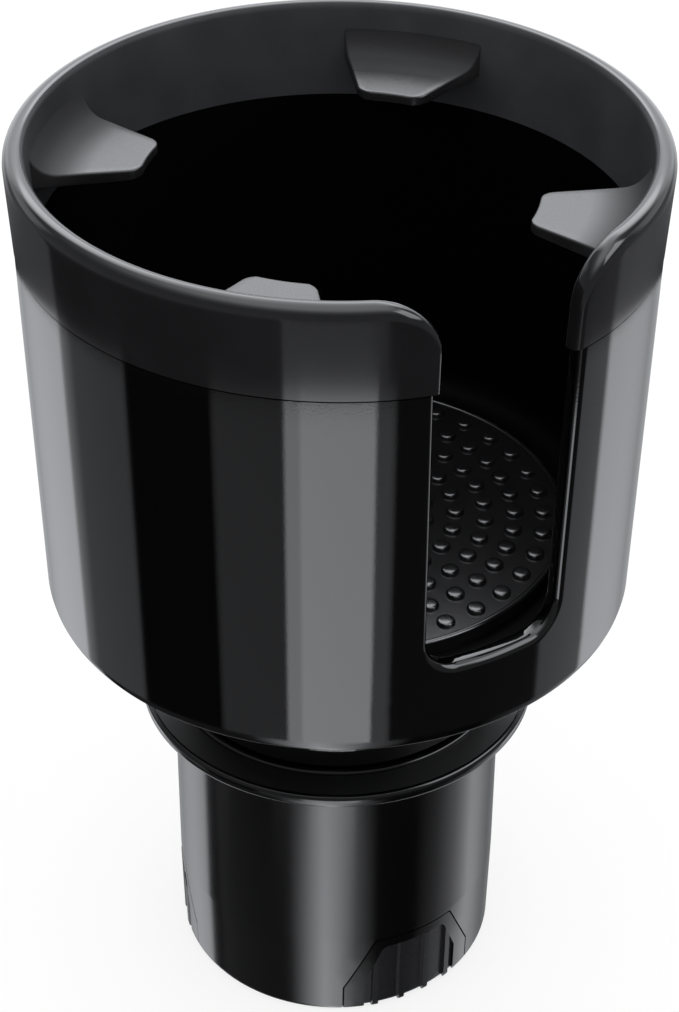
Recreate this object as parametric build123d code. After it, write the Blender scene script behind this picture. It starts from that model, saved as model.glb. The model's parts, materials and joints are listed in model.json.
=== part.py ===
from build123d import *
from math import cos, radians, sin, sqrt
import os

# Cup holder expander: a large cup that stands on a narrow sleeve made to drop into a
# vehicle's cup holder. Turning the cup drives three feet out of the sleeve, which wedges
# it in the holder. Lengths are millimetres, angles are degrees.
# The origin is the centre of the resting face, +Z is up and the handle slot faces -Y.
# Features that face one way are drawn facing +X and then turned.

# Clearances
SLIDE_GAP = 0.3      # between a sliding piece and its guide
RUN_GAP = 0.08       # between a shaft and its bearing
FIT_GAP = 0.05       # between a screw or pin and its hole
SHADOW_GAP = 0.3     # open line under the rubber band

# Base sleeve, the part that drops into the vehicle's holder
SLEEVE_R = 32.5
SLEEVE_WALL = 2.6
SLEEVE_TIP_IN = 0.4  # the tip's radius is smaller by this
SLEEVE_TIP_H = 20.0
SLEEVE_EDGE_R = 1.2
COLLAR_Z = 61.5
COLLAR_OUT = 6.3     # past the sleeve
COLLAR_T = 2.8
COLLAR_RISE = 0.3
COLLAR_EDGE_R = 0.9
COLLAR_ROOT_R = 1.2
LIP_OUT = 0.5        # past the sleeve
LIP_H = 0.9
LIP_EDGE_R = 0.7
SHELF_DROP = 6.3     # from the collar's underside down to the bearing shelf's
SHELF_T = 2.8

# Neck between the sleeve and the cup
NECK_IN = 0.5        # inside the sleeve's radius
NECK_STEP = 1.5      # the spigot in the collar is smaller again by this
NECK_WALL = 2.4
NECK_SHOWN = 23.3
NECK_WEB_T = 3.0
NECK_ROOT_R = 2.0
NECK_EDGE_R = 0.5
NECK_PLATE_T = 2.8
PLATE_INSET = 0.4

# Cup
CUP_R = 57.5
CUP_H = 93.5
CUP_DRAFT = 0.0207   # change of radius for each millimetre of height
CUP_WALL = 3.8
CUP_EDGE_R = 4.0
CUP_FLOOR_H = 11.2
CUP_FLOOR_T = 3.4
CUP_COVE_R = 5.5
SKIRT_W = 4.9
LEDGE_W = 2.2

# Handle slot
SLOT_TOP_HALF = 13.8
SLOT_LOW_HALF = 13.0
SLOT_SILL_H = 7.0    # above the cup's floor
SLOT_CORNER_R = 6.0
SLOT_FLARE_R = 10.0
SLOT_EDGE_R = 0.8
RING_STEP = 0.9      # the ring's ends stand this far into the slot

# Rubber rim ring
BAND_H = 17.6
BAND_SKIN = 1.1
BAND_PROUD = 0.1
BULGE_OUT = 0.5
BULGE_H = 2.5
BAND_TOP_T = 3.1
BAND_OUT_R = 2.3
BAND_IN_R = 1.2
BAND_IN_DROP = 0.9   # the inner leg reaches this much lower than the outer one
BAND_TOP_OUT = 0.9   # the inner leg's top stands this much further out than its foot

# Flexible tabs of the rim ring
TAB_COUNT = 4
TAB_REACH = 22.4     # from the cup's outside to the tip
TAB_TIP_HALF = 5.9
TAB_ROOT_HALF = 13.4
TAB_T = 1.8
TAB_ROOT_DROP = 0.8  # the underside falls this much towards the wall
TAB_DROP = 8.9       # tip's top face below the rim
TAB_BLEND_R = 5.0
TAB_BLEND_OVER = 1.0
TAB_BITE = 0.25      # the blend ends this deep in the wall
TAB_CORNER_R = 1.8

# Floor mat
MAT_GAP = 8.6        # from its edge to the cup's wall
MAT_T = 2.5
MAT_EDGE_R = 0.6
BUMP_PITCH = 5.6
BUMP_COUNT_MAX = 36
BUMP_SIDE_COUNT = 8
BUMP_R = 1.75
BUMP_H = 0.8
BUMP_LEAN = 35

# Feet
FOOT_COUNT = 3
FOOT_TRAVEL = 7.5
FOOT_WALL = 4.7
FOOT_FLOOR_GAP = 0.4
WINDOW_TOP_Z = 19.3
WINDOW_TOP_HALF = 8.8
WINDOW_KNEE_Z = 6.5
WINDOW_HALF = 14.7
WINDOW_CORNER_R = 0.8
STEM_W = 12.0
STEM_H = 6.0
STEM_PAST_PIN = 4.5
STEM_CORNER_R = 2.0
STEM_BITE = 1.0
PAD_TOP_IN = 2.4     # pad's top edge below the window's
PAD_TOP_SIDE_IN = 1.8
PAD_KNEE_RISE = 1.5
PAD_SIDE_IN = 4.1
PAD_DEPTH = 1.9
PAD_SINK = 0.6
PAD_CORNER_R = 2.0
RIB_PITCH = 5.6
RIB_COUNT = 4
RIB_W = 1.2
RIB_PROUD = 0.1

# Twist drive
TWIST = 100.0        # full turn of the cup, clockwise seen from above
SCROLL_STEP_COUNT = 8
PIN_R = 2.0
PIN_ROOT = 4.0
PIN_TIP_R = 0.4
CAM_GAP = 0.2
CAM_BACK_GAP = 1.0   # between the cam disc and the feet
CAM_RIM = 1.7
CAM_T = 3.4
CAM_SPIGOT_H = 3.0
TUBE_PIN_GAP = 0.2   # from the tube's outside to the scroll slots
TUBE_WALL = 5.0
TUBE_SHOULDER = 1.4  # the tube's top is this much wider, to pass through the shelf
TUBE_FLANGE_W = 5.0
TUBE_FLANGE_T = 2.6
TUBE_ROOT_R = 1.0
WASHER_T = 1.0
WASHER_IN_GAP = 4.0
WASHER_OUT_GAP = 3.0

# Bottom cover
COVER_T = 2.6
RAIL_T = 1.8
RAIL_BACK_GAP = 2.0
BOSS_W = 7.0
BOSS_DEPTH = 7.1

# Screws
SCREW_R = 1.2
SCREW_HEAD_R = 2.3
SCREW_HEAD_H = 1.3
SCREW_BRIM = 0.2
SCREW_SINK = 0.1     # the head lies this far below the face it is let into
RECESS_L = 2.4
RECESS_W = 0.6
RECESS_DEPTH = 0.7
COVER_SCREW_IN = 3.7     # from the sleeve's inside
COVER_SCREW_L = 7.4
DRIVE_SCREW_L = 9.0
FLOOR_SCREW_COUNT = 4
FLOOR_SCREW_IN = 5.4     # from the mat's edge, which covers them
FLOOR_SCREW_L = 7.2
FLOOR_BOSS_R = 3.6

# Heights that follow from the sizes above
stem_z = COVER_T + SLIDE_GAP
stem_top = stem_z + STEM_H
cam_z = stem_top + SLIDE_GAP
cam_top = cam_z + CAM_T
collar_top = COLLAR_Z + COLLAR_T
lip_top = collar_top + COLLAR_RISE + LIP_H
shelf_z = COLLAR_Z - SHELF_DROP
shelf_top = shelf_z + SHELF_T
flange_top = shelf_z - SLIDE_GAP
neck_z = shelf_top + WASHER_T + RUN_GAP
web_top = neck_z + NECK_WEB_T
shoulder_z = lip_top + SLIDE_GAP
cup_z = lip_top + NECK_SHOWN
rim_top = cup_z + CUP_H
floor_z = cup_z + CUP_FLOOR_H
floor_low = floor_z - CUP_FLOOR_T
plate_z = cup_z + PLATE_INSET
plate_top = plate_z + NECK_PLATE_T
sill_z = floor_z + SLOT_SILL_H
band_z = rim_top - BAND_H
band_in_z = band_z - BAND_IN_DROP
tongue_top = rim_top - BAND_TOP_T


def cup_outer(z):
    return CUP_R - CUP_DRAFT * (rim_top - z)


def cup_inner(z):
    return cup_outer(z) - CUP_WALL


# Radii that follow from the sizes above
sleeve_tip_r = SLEEVE_R - SLEEVE_TIP_IN
sleeve_in_r = SLEEVE_R - SLEEVE_WALL
collar_r = SLEEVE_R + COLLAR_OUT
lip_r = SLEEVE_R + LIP_OUT
neck_r = SLEEVE_R - NECK_IN
spigot_r = neck_r - NECK_STEP
foot_back_r = sleeve_tip_r - FOOT_WALL
pad_floor_r = sleeve_tip_r - PAD_DEPTH
cam_r = foot_back_r - CAM_BACK_GAP
pin_start_r = cam_r - CAM_RIM - CAM_GAP - PIN_R - FOOT_TRAVEL
stem_end_r = pin_start_r - STEM_PAST_PIN
tube_r = pin_start_r - PIN_R - CAM_GAP - TUBE_PIN_GAP
tube_bore_r = tube_r - TUBE_WALL
tube_top_r = tube_r + TUBE_SHOULDER
drive_screw_r = (tube_bore_r + tube_r) / 2
cover_screw_r = sleeve_in_r - COVER_SCREW_IN
skirt_r = cup_outer(cup_z) - SKIRT_W
mat_r = cup_inner(floor_z) - MAT_GAP
floor_screw_r = mat_r - FLOOR_SCREW_IN
tongue_out_r = cup_outer(band_z) - BAND_SKIN
tongue_in_r = cup_inner(band_in_z) + BAND_SKIN
clear_r = CUP_R * 2      # well outside everything

slot_dir = -90
ON_FLOOR = (Align.MIN, Align.CENTER, Align.MIN)      # a box from x = 0 outwards, standing on z = 0


def facing(angle):
    """Turn a feature drawn facing +X to stand at this angle from the handle slot."""
    return Rot(0, 0, slot_dir + angle)


def foot_angles():
    return [360 / FOOT_COUNT * i for i in range(FOOT_COUNT)]


def between_angles():
    return [angle + 180 / FOOT_COUNT for angle in foot_angles()]


def outline(*corners):
    """Closed face through (x, y) corners; a third number rounds that corner."""
    face = make_face(Polyline(*[corner[:2] for corner in corners], close=True))
    for corner in corners:
        if len(corner) > 2:
            point = face.vertices().sort_by_distance((corner[0], corner[1], 0))[0]
            face = fillet(point, corner[2])
    return face


def turned(*corners):
    """Solid turned about Z from (radius, height) corners."""
    return revolve(Plane.XZ * outline(*corners), Axis.Z)


def prism(face, start, end):
    """Solid from a (sideways, height) face, running along +X between two radii."""
    return extrude(Plane.YZ.offset(start) * face, amount=end - start)


def disc(radius, low, high):
    return Pos(0, 0, low) * Cylinder(radius, high - low, align=(Align.CENTER, Align.CENTER, Align.MIN))


def slot_cutter(grow=0.0):
    """Handle slot through the cup's wall, open at the rim, with flared top corners."""
    top_half = SLOT_TOP_HALF + grow
    low_half = SLOT_LOW_HALF + grow
    low_z = sill_z - grow
    flare_x = SLOT_TOP_HALF - RING_STEP + SLOT_FLARE_R
    flare_z = rim_top - SLOT_FLARE_R
    flare_r = flare_x - top_half
    bend = flare_r * sqrt(0.5)
    above = rim_top + SLOT_FLARE_R
    crest = (flare_x, flare_z + flare_r)
    half = Polyline((0, above), (flare_x, above), crest)
    half += ThreePointArc(crest, (flare_x - bend, flare_z + bend), (top_half, flare_z))
    half += Polyline((top_half, flare_z), (low_half, low_z), (0, low_z))
    face = make_face((half + mirror(half, Plane.YZ)).edges())
    for side in (1, -1):
        point = face.vertices().sort_by_distance((side * low_half, low_z, 0))[0]
        face = fillet(point, SLOT_CORNER_R)
    return facing(0) * prism(face, CUP_R / 2, clear_r)


# Screws


def screw(length):
    """Countersunk screw that points up from the face it is let into, with a cross recess."""
    head_z = SCREW_SINK
    tip_z = length - SCREW_SINK
    body = turned(
        (0, head_z),
        (SCREW_HEAD_R, head_z),
        (SCREW_HEAD_R, head_z + SCREW_BRIM),
        (SCREW_R, head_z + SCREW_HEAD_H),
        (SCREW_R, tip_z - SCREW_R),
        (0, tip_z),
    )
    for turn in (0, 90):
        body -= Pos(0, 0, head_z) * Rot(0, 0, turn) * Box(RECESS_L, RECESS_W, RECESS_DEPTH * 2)
    return body


def screw_hole(length):
    """Hole for the screw above, wider all round by the fit."""
    head_r = SCREW_HEAD_R + FIT_GAP
    shank_r = SCREW_R + FIT_GAP
    return turned(
        (0, 0),
        (head_r, 0),
        (head_r, SCREW_SINK + SCREW_BRIM + FIT_GAP),
        (shank_r, SCREW_SINK + SCREW_HEAD_H + FIT_GAP),
        (shank_r, length),
        (0, length),
    )


def at_cover_screws(shape_of):
    """Screws, or holes, that hold the bottom cover to the sleeve from below."""
    one = Pos(cover_screw_r, 0, 0) * shape_of(COVER_SCREW_L)
    return [facing(angle) * one for angle in between_angles()]


def at_cam_screws(shape_of):
    """Screws, or holes, that hold the cam disc to the drive tube from below."""
    one = Pos(drive_screw_r, 0, cam_z) * shape_of(DRIVE_SCREW_L)
    return [facing(angle) * one for angle in between_angles()]


def at_tube_screws(shape_of):
    """Screws, or holes, that hold the drive tube to the neck's web from above."""
    one = Pos(drive_screw_r, 0, web_top) * Rot(180, 0, 0) * shape_of(DRIVE_SCREW_L)
    return [facing(angle) * one for angle in between_angles()]


def floor_screw_angles():
    return [360 / FLOOR_SCREW_COUNT * (i + 0.5) for i in range(FLOOR_SCREW_COUNT)]


def at_floor_screws(shape_of):
    """Screws, or holes, that hold the cup's floor to the neck's plate from above."""
    one = Pos(floor_screw_r, 0, floor_z) * Rot(180, 0, 0) * shape_of(FLOOR_SCREW_L)
    return [facing(angle) * one for angle in floor_screw_angles()]


# Base sleeve


def flared_outline(half, knee_z, top_half, top_z, low, corner_r):
    """Upright sides up to a knee, then slanted ones up to a narrower top."""
    return outline(
        (half, low),
        (half, knee_z),
        (top_half, top_z, corner_r),
        (-top_half, top_z, corner_r),
        (-half, knee_z),
        (-half, low),
    )


def window_outline(low, inset=0.0):
    """Foot window seen from outside, or the same outline set in all round."""
    slope = (WINDOW_HALF - WINDOW_TOP_HALF) / (WINDOW_TOP_Z - WINDOW_KNEE_Z)
    lean = sqrt(1 + slope * slope)
    half = WINDOW_HALF - inset
    knee_z = WINDOW_KNEE_Z - inset * (lean - 1) / slope
    top_half = WINDOW_TOP_HALF + slope * inset - inset * lean
    return flared_outline(half, knee_z, top_half, WINDOW_TOP_Z - inset, low, WINDOW_CORNER_R)


def pad_outline(low):
    return flared_outline(
        WINDOW_HALF - PAD_SIDE_IN,
        WINDOW_KNEE_Z + PAD_KNEE_RISE,
        WINDOW_TOP_HALF - PAD_TOP_SIDE_IN,
        WINDOW_TOP_Z - PAD_TOP_IN,
        low,
        PAD_CORNER_R,
    )


def through_wall(face):
    """Solid that carries an outline seen from outside through the sleeve's wall."""
    return prism(face, foot_back_r / 2, collar_r)


def sleeve_skin(inner_r, out=0.0):
    """Ring between inner_r and the sleeve's outer face moved outwards by out."""
    return turned(
        (inner_r, 0),
        (sleeve_tip_r + out, 0, SLEEVE_EDGE_R),
        (SLEEVE_R + out, SLEEVE_TIP_H),
        (SLEEVE_R + out, COLLAR_Z),
        (inner_r, COLLAR_Z),
    )


def make_base_sleeve():
    """Tube with a collar, a lip, a bearing shelf and three windows at its foot."""
    collar_bore = spigot_r + SLIDE_GAP
    shaft_bore = tube_top_r + RUN_GAP
    body = turned(
        (sleeve_in_r, 0),
        (sleeve_tip_r, 0, SLEEVE_EDGE_R),
        (SLEEVE_R, SLEEVE_TIP_H),
        (SLEEVE_R, COLLAR_Z, COLLAR_ROOT_R),
        (collar_r, COLLAR_Z, COLLAR_EDGE_R),
        (collar_r, collar_top, COLLAR_EDGE_R),
        (lip_r, collar_top + COLLAR_RISE),
        (lip_r, lip_top, LIP_EDGE_R),
        (collar_bore, lip_top),
        (collar_bore, shelf_top),
        (shaft_bore, shelf_top),
        (shaft_bore, shelf_z),
        (sleeve_in_r, shelf_z),
    )
    boss_end = sleeve_in_r + SLEEVE_WALL / 2
    boss = Pos(sleeve_in_r - BOSS_DEPTH, 0, COVER_T) * Box(BOSS_DEPTH * 2, BOSS_W, STEM_H, align=ON_FLOOR)
    for angle in between_angles():
        body += facing(angle) * (boss & disc(boss_end, 0, SLEEVE_TIP_H))
    for angle in foot_angles():
        body -= facing(angle) * through_wall(window_outline(-COVER_T))
    return body - at_cover_screws(screw_hole)


def make_base_cover():
    """Closes the sleeve and guides the three feet between pairs of rails."""
    body = disc(sleeve_in_r - SLIDE_GAP, 0, COVER_T)
    notch = through_wall(window_outline(-COVER_T, -SLIDE_GAP))
    notch -= disc(foot_back_r - SLIDE_GAP, -COVER_T, WINDOW_TOP_Z * 2)
    rail_l = foot_back_r - RAIL_BACK_GAP - stem_end_r
    rail_y = (STEM_W + RAIL_T) / 2 + SLIDE_GAP
    rail = Box(rail_l, RAIL_T, STEM_H, align=ON_FLOOR)
    for angle in foot_angles():
        body -= facing(angle) * notch
    for angle in foot_angles():
        for side in (rail_y, -rail_y):
            body += facing(angle) * Pos(stem_end_r, side, COVER_T) * rail
    return body - at_cover_screws(screw_hole)


def make_thrust_washer():
    """Ring that the neck turns on, over the bearing shelf."""
    ring = disc(spigot_r - WASHER_OUT_GAP, shelf_top, shelf_top + WASHER_T)
    return ring - disc(tube_top_r + WASHER_IN_GAP, shelf_z, rim_top)


# Feet


def make_foot_slider():
    """Wall segment that fills the window, with a stem that runs between the rails."""
    body = sleeve_skin(foot_back_r) & through_wall(window_outline(FOOT_FLOOR_GAP, SLIDE_GAP))
    stem = Pos(stem_end_r, 0, stem_z) * Box(
        foot_back_r + STEM_BITE - stem_end_r, STEM_W, STEM_H, align=ON_FLOOR
    )
    body += fillet(stem.edges().filter_by(Axis.Z).group_by(Axis.X)[0], STEM_CORNER_R)
    body -= through_wall(pad_outline(-COVER_T)) - disc(pad_floor_r, -COVER_T, COLLAR_Z)
    return body - Pos(pin_start_r, 0, 0) * disc(PIN_R + FIT_GAP, stem_top - PIN_ROOT, cam_top)


def make_foot_pad():
    """Rubber pad with upright ribs, seated in the slider's face."""
    block = through_wall(pad_outline(FOOT_FLOOR_GAP))
    body = sleeve_skin(pad_floor_r, -PAD_SINK) & block
    ribs = sleeve_skin(pad_floor_r, RIB_PROUD) & block
    bar = Box(clear_r, RIB_W, clear_r, align=ON_FLOOR)
    for i in range(RIB_COUNT):
        body += ribs & Pos(0, RIB_PITCH * (i - (RIB_COUNT - 1) / 2), 0) * bar
    return body


def make_cam_pin():
    low = stem_top - PIN_ROOT
    tip = cam_top - SLIDE_GAP
    return Pos(pin_start_r, 0, 0) * turned((0, low), (PIN_R, low), (PIN_R, tip, PIN_TIP_R), (0, tip))


# Twist drive


def scroll_slot():
    """Slot that starts over a foot's pin and winds outwards at a constant rate."""
    rate = FOOT_TRAVEL / radians(TWIST)
    reach = PIN_R + CAM_GAP

    def point(angle, side):
        r = pin_start_r + rate * radians(angle)
        edge_r = r + side * reach * sqrt(1 + (rate / r) ** 2)
        return edge_r * cos(radians(angle)), edge_r * sin(radians(angle))

    def cap(angle, past):
        r = pin_start_r + rate * radians(angle)
        return r * cos(radians(angle) + past / r), r * sin(radians(angle) + past / r)

    steps = [TWIST * i / SCROLL_STEP_COUNT for i in range(SCROLL_STEP_COUNT + 1)]
    edges = Spline(*[point(angle, 1) for angle in steps])
    edges += ThreePointArc(point(TWIST, 1), cap(TWIST, reach), point(TWIST, -1))
    edges += Spline(*[point(angle, -1) for angle in reversed(steps)])
    edges += ThreePointArc(point(0, -1), cap(0, -reach), point(0, 1))
    return Pos(0, 0, stem_top) * extrude(make_face(edges.edges()), amount=CAM_T * 2)


def make_cam_disc():
    """Disc whose scroll slots drive the feet's pins, with a spigot in the drive tube."""
    body = disc(cam_r, cam_z, cam_top)
    body += disc(tube_bore_r - FIT_GAP, cam_top, cam_top + CAM_SPIGOT_H)
    for angle in foot_angles():
        body -= facing(angle) * scroll_slot()
    return body - at_cam_screws(screw_hole)


def make_drive_tube():
    """Carries the turn of the neck down to the cam; its flange holds the cup down."""
    body = turned(
        (tube_bore_r, cam_top),
        (tube_r, cam_top),
        (tube_r, flange_top - TUBE_FLANGE_T, TUBE_ROOT_R),
        (tube_top_r + TUBE_FLANGE_W, flange_top - TUBE_FLANGE_T),
        (tube_top_r + TUBE_FLANGE_W, flange_top),
        (tube_top_r, flange_top),
        (tube_top_r, neck_z),
        (tube_bore_r, neck_z),
    )
    return body - at_cam_screws(screw_hole) - at_tube_screws(screw_hole)


# Neck


def make_neck():
    """Tube that turns in the collar, with the plate that closes the cup's underside."""
    neck_in_r = neck_r - NECK_WALL
    spigot_in_r = spigot_r - NECK_WALL
    plate_r = skirt_r - FIT_GAP
    body = turned(
        (tube_bore_r, neck_z),
        (spigot_r, neck_z, NECK_EDGE_R),
        (spigot_r, shoulder_z),
        (neck_r, shoulder_z, NECK_EDGE_R),
        (neck_r, plate_z, NECK_ROOT_R),
        (plate_r, plate_z),
        (plate_r, plate_top),
        (neck_in_r, plate_top),
        (neck_in_r, shoulder_z + NECK_WALL),
        (spigot_in_r, shoulder_z + NECK_WALL - NECK_STEP),
        (spigot_in_r, web_top),
        (tube_bore_r, web_top),
    )
    boss = Pos(floor_screw_r, 0, 0) * disc(FLOOR_BOSS_R, plate_top, floor_low)
    for angle in floor_screw_angles():
        body += facing(angle) * boss
    return body - at_floor_screws(screw_hole) - at_tube_screws(screw_hole)


# Cup


def slot_edges(body):
    """Edges where the slot's sides and sill meet the cup's outside and inside."""

    def on_slot(edge):
        ends = edge.bounding_box()
        spans = max(ends.size.X, ends.size.Z) > SLOT_EDGE_R
        beside = ends.max.Y < -CUP_R / 2 and max(-ends.min.X, ends.max.X) < SLOT_TOP_HALF + SLOT_EDGE_R
        return spans and beside and ends.min.Z > sill_z - SLOT_EDGE_R

    return body.edges().filter_by(on_slot)


def make_cup_shell():
    """Moulded wall and floor, with the slot, and a tongue that carries the rim ring."""
    body = turned(
        (0, floor_low),
        (skirt_r - LEDGE_W, floor_low),
        (skirt_r - LEDGE_W, plate_top),
        (skirt_r, plate_top),
        (skirt_r, cup_z),
        (cup_outer(cup_z), cup_z, CUP_EDGE_R),
        (cup_outer(band_z), band_z),
        (tongue_in_r, band_z),
        (tongue_in_r, band_in_z),
        (cup_inner(band_in_z), band_in_z),
        (cup_inner(floor_z), floor_z, CUP_COVE_R),
        (0, floor_z),
    )
    body -= slot_cutter()
    body = fillet(slot_edges(body), SLOT_EDGE_R)
    tongue = turned(
        (tongue_in_r, band_in_z),
        (tongue_in_r, tongue_top),
        (tongue_out_r, tongue_top),
        (tongue_out_r, band_z - BAND_IN_DROP),
    )
    body += tongue - slot_cutter(SLOT_EDGE_R)
    return body - at_floor_screws(screw_hole)


def ring_inner(z):
    return cup_inner(band_in_z) + BAND_TOP_OUT * (z - band_in_z) / (rim_top - band_in_z)


def make_tab():
    """One flexible tab facing +X: a plate that blends into the ring's inner wall."""
    top = rim_top - TAB_DROP
    low = top - TAB_T
    root_low = low - TAB_ROOT_DROP
    blend_top = top + TAB_BLEND_R + TAB_BLEND_OVER
    tip_r = CUP_R - TAB_REACH
    section = outline(
        (tip_r, low),
        (tip_r, top),
        (ring_inner(top) + TAB_BITE, top, TAB_BLEND_R),
        (ring_inner(blend_top) + TAB_BITE, blend_top),
        (ring_inner(blend_top) + BAND_SKIN / 2, blend_top),
        (ring_inner(root_low) + BAND_SKIN / 2, root_low),
    )
    root_r = sqrt(ring_inner(top) ** 2 - TAB_ROOT_HALF**2)
    slope = (TAB_ROOT_HALF - TAB_TIP_HALF) / (root_r - tip_r)
    past_half = TAB_TIP_HALF + slope * TAB_REACH
    plan = outline(
        (tip_r, -TAB_TIP_HALF, TAB_CORNER_R),
        (tip_r, TAB_TIP_HALF, TAB_CORNER_R),
        (CUP_R, past_half),
        (CUP_R, -past_half),
    )
    return revolve(Plane.XZ * section, Axis.Z) & extrude(plan, amount=rim_top)


def make_rim_ring(cup_shell):
    """Rubber band that grips the cup's rim, with its tabs, in one moulding."""
    low_r = cup_outer(band_z) + BAND_PROUD
    bulge_r = CUP_R + BULGE_OUT
    body = turned(
        (tongue_out_r, band_z),
        (tongue_out_r, band_z + SHADOW_GAP),
        (low_r, band_z + SHADOW_GAP),
        (bulge_r, rim_top - BULGE_H),
        (bulge_r, rim_top, BAND_OUT_R),
        (ring_inner(rim_top), rim_top, BAND_IN_R),
        (ring_inner(band_in_z), band_in_z),
        (tongue_in_r, band_in_z),
        (tongue_in_r, band_z),
    )
    for i in range(TAB_COUNT):
        body += facing(360 / TAB_COUNT * (i + 0.5)) * make_tab()
    body -= slot_cutter(-RING_STEP)
    return body - cup_shell


def make_floor_mat():
    """Loose rubber mat with rings of round grip bumps."""
    top = floor_z + MAT_T
    body = turned((0, floor_z), (mat_r, floor_z), (mat_r, top, MAT_EDGE_R), (0, top))
    bump = extrude(RegularPolygon(BUMP_R, BUMP_SIDE_COUNT), amount=BUMP_H, taper=BUMP_LEAN)
    bumps = [Pos(0, 0, top) * bump]
    ring_count = int((mat_r - BUMP_R - MAT_EDGE_R) / BUMP_PITCH)
    for ring in range(1, ring_count + 1):
        count = min(6 * ring, BUMP_COUNT_MAX)
        for i in range(count):
            bumps.append(Rot(0, 0, 360 * i / count) * Pos(BUMP_PITCH * ring, 0, top) * bump)
    return body + bumps


def make_all():
    shell = make_cup_shell()
    nodes = {
        "base_sleeve": make_base_sleeve(),
        "base_cover": make_base_cover(),
        "cover_screws": at_cover_screws(screw),
        "thrust_washer": make_thrust_washer(),
        "neck": make_neck(),
        "drive_tube": make_drive_tube(),
        "tube_screws": at_tube_screws(screw),
        "cam_disc": make_cam_disc(),
        "cam_screws": at_cam_screws(screw),
        "cup_shell": shell,
        "floor_screws": at_floor_screws(screw),
        "floor_mat": make_floor_mat(),
        "rim_ring": make_rim_ring(shell),
    }
    slider = make_foot_slider()
    pad = make_foot_pad()
    pin = make_cam_pin()
    for name, angle in zip(("front", "right", "left"), foot_angles()):
        nodes[f"foot_slider_{name}"] = facing(angle) * slider
        nodes[f"foot_pad_{name}"] = facing(angle) * pad
        nodes[f"cam_pin_{name}"] = facing(angle) * pin
    return nodes


def write(nodes):
    os.makedirs("parts", exist_ok=True)
    for name, shape in nodes.items():
        pieces = shape if isinstance(shape, list) else [shape]
        solids = [solid for piece in pieces for solid in piece.solids()]
        export_step(Compound(children=solids), f"parts/{name}.step")


write(make_all())
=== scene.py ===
import json
from math import asin, cos, hypot, pi, radians, sin, sqrt

import bmesh
import bpy
from mathutils import Matrix, Vector


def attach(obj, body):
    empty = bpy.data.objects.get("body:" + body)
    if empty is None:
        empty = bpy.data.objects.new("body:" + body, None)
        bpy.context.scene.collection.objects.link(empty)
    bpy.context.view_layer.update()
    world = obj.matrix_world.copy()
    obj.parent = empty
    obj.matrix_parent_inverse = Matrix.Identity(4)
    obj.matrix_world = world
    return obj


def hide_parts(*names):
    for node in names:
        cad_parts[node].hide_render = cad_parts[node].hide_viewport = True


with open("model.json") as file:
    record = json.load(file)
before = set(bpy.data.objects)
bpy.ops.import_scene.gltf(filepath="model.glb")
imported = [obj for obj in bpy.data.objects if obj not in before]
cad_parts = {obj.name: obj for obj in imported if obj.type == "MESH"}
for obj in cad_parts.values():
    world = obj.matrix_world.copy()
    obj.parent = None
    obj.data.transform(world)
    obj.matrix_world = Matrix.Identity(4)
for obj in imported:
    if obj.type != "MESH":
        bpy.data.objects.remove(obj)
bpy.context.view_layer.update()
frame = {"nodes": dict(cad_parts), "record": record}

# Lengths are metres, angles are degrees. The handle slot faces -Y and +Z is up.

MM = 0.001

# Sizes of the part in millimetres, as its CAD model has them
CUP_R = 57.5
CUP_DRAFT = 0.0207
CUP_WALL = 3.8
CUP_Z = 88.8
CUP_EDGE_R = 4.0
CUP_COVE_R = 5.5
RIM_TOP = 182.3
BAND_Z = 164.7
BAND_IN_DROP = 0.9
FLOOR_Z = 100.0
FLOOR_LOW = 96.6
PLATE_TOP = 92.0
SKIRT_R = 50.66
LEDGE_W = 2.2
SILL_Z = 107.0
SLOT_TOP_HALF = 13.8
SLOT_LOW_HALF = 13.0
SLOT_CORNER_R = 6.0
FLARE_X = 22.9
FLARE_Z = 172.3
FLARE_R = 10.0
BAND_LOW_R = 57.24
BAND_LOW_Z = 165.0
BAND_IN_R = 53.317
BAND_IN_Z = 163.8
BAND_IN_TOP_R = 54.217
BULGE_R = 58.0
BULGE_Z = 179.8
BAND_T = 3.8
RIM_OUT_R = 2.3
RIM_IN_R = 1.2
TAB_TIP_R = 35.1
TAB_TIP_HALF = 5.9
TAB_ROOT_HALF = 13.4
TAB_TOP_Z = 173.4
TAB_T = 1.8
TAB_ROOT_DROP = 0.8
TAB_COVE_R = 5.0
TAB_ANGLES = {
    "tab_front_right": 45, "tab_back_right": 135, "tab_back_left": 225, "tab_front_left": 315,
}
MAT_R = 43.4
MAT_T = 2.5
BUMP_R = 1.75
BUMP_H = 0.8
BUMP_PITCH = 5.6
BUMP_RINGS = 7
BUMP_FIRST_RING = 6      # bumps in the first ring, and more in each further ring
BUMP_MOST = 36
SLEEVE_R = 32.5
COLLAR_Z = 61.5
COLLAR_TOP = 64.3
COLLAR_R = 38.8
COLLAR_RISE = 0.3
COLLAR_EDGE_R = 0.9
COLLAR_ROOT_R = 1.2
LIP_R = 33.0
LIP_TOP = 65.5
LIP_EDGE_R = 0.7
COLLAR_BORE_R = 30.8

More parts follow.
